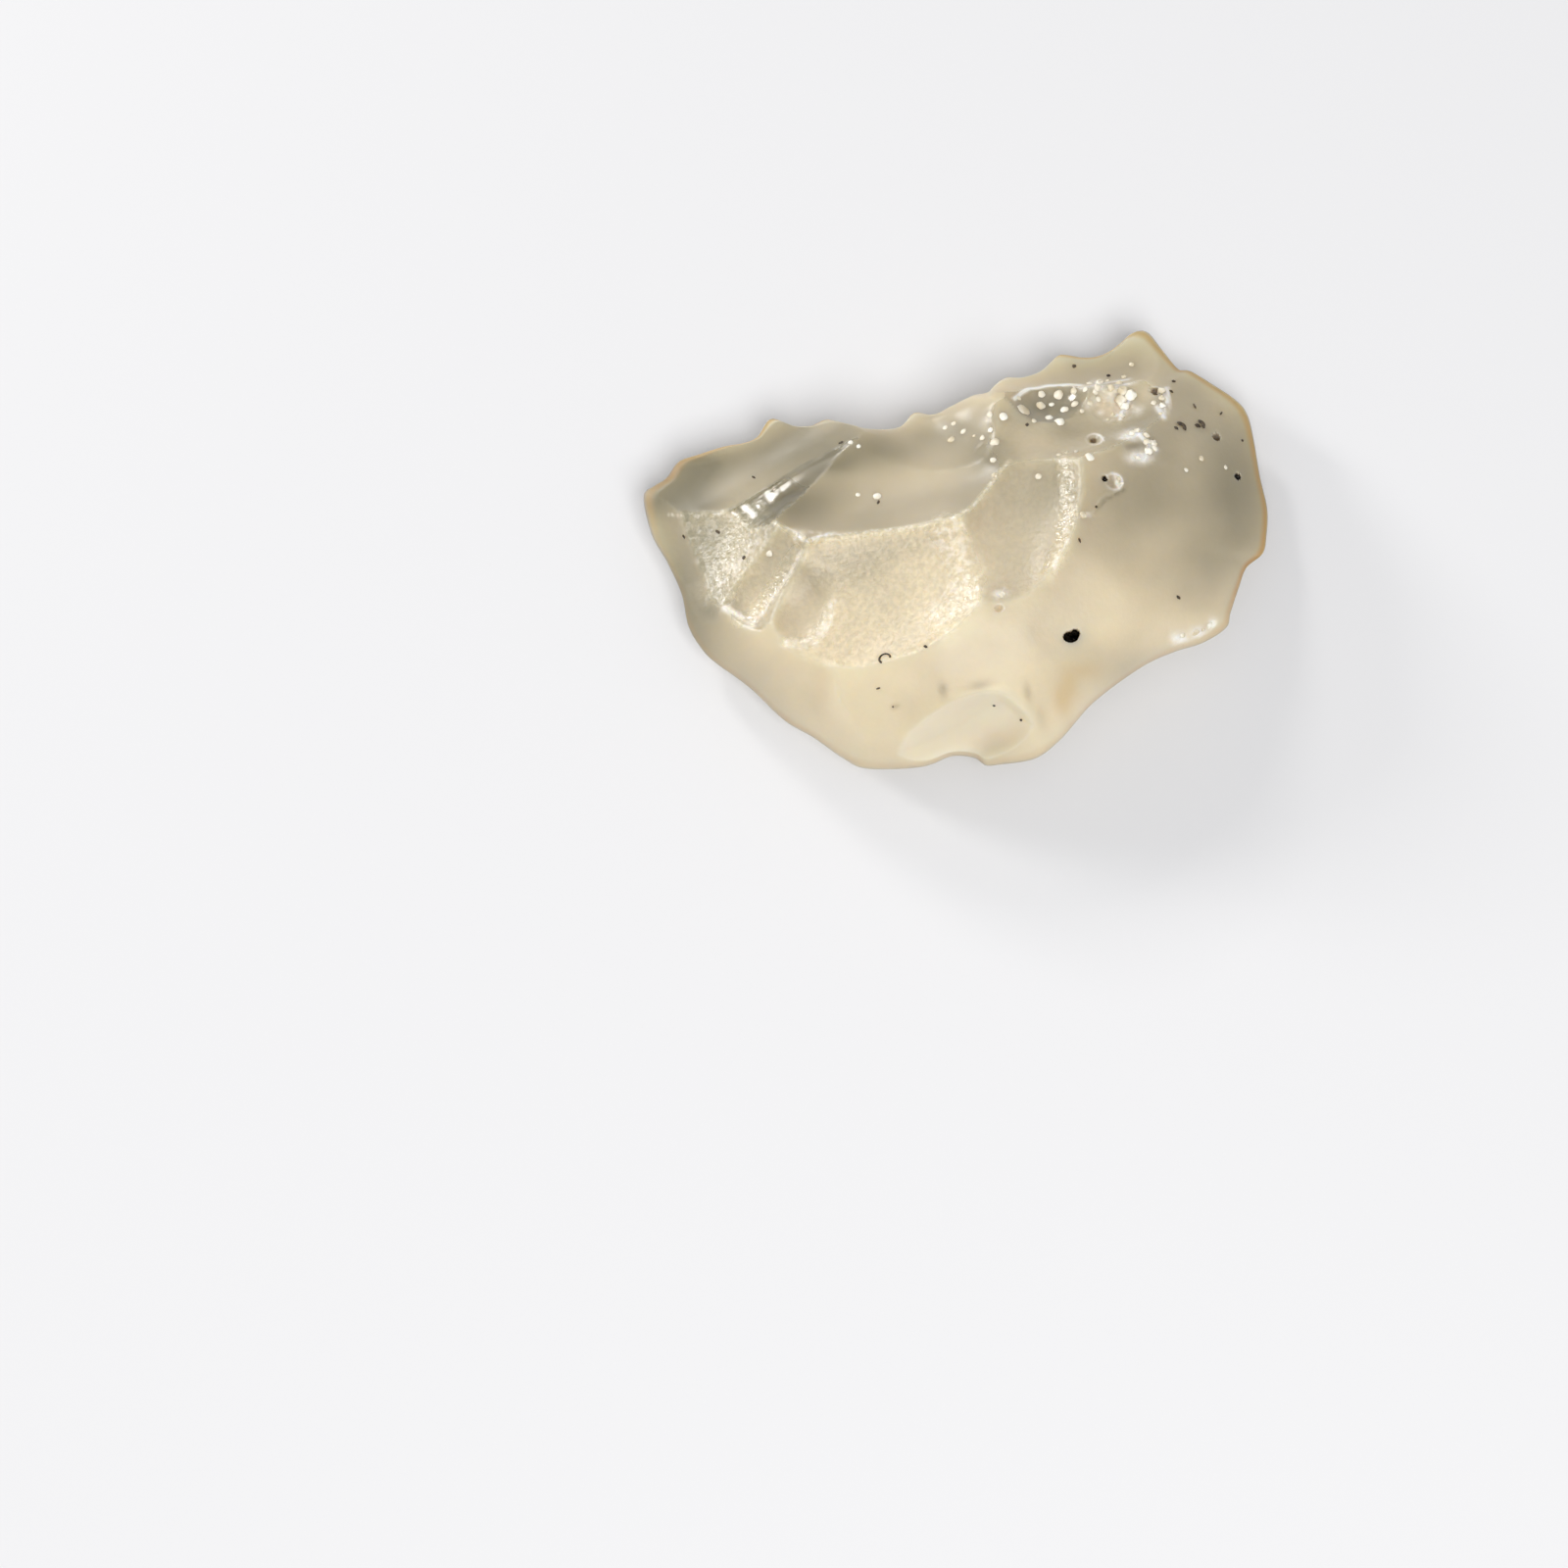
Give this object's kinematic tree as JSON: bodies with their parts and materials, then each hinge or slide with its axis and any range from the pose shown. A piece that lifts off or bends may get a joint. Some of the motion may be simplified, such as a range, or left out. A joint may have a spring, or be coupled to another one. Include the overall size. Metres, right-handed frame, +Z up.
{
  "type": "raw desert glass flake",
  "caption": "Raw flake of pale yellow desert glass with a scalloped thin edge, shell-shaped flake scars and open bubble pits, lying on its flat underside.",
  "frame": {"origin": "bottom centre of the bounding box, on the plane of the flat resting facet", "axes": "+X along the flake's length towards its broad worn end, +Y towards the scalloped edge, +Z up out of the flake-scarred back"},
  "size_m": [0.0334, 0.0226, 0.0081],
  "materials": {
    "desert_glass": "frosted, wind-worn natural silica glass, glossier in the fresher flake scars"
  },
  "bodies": {
    "root": {"desert_glass": "desert_glass"}
  },
  "joints": []
}
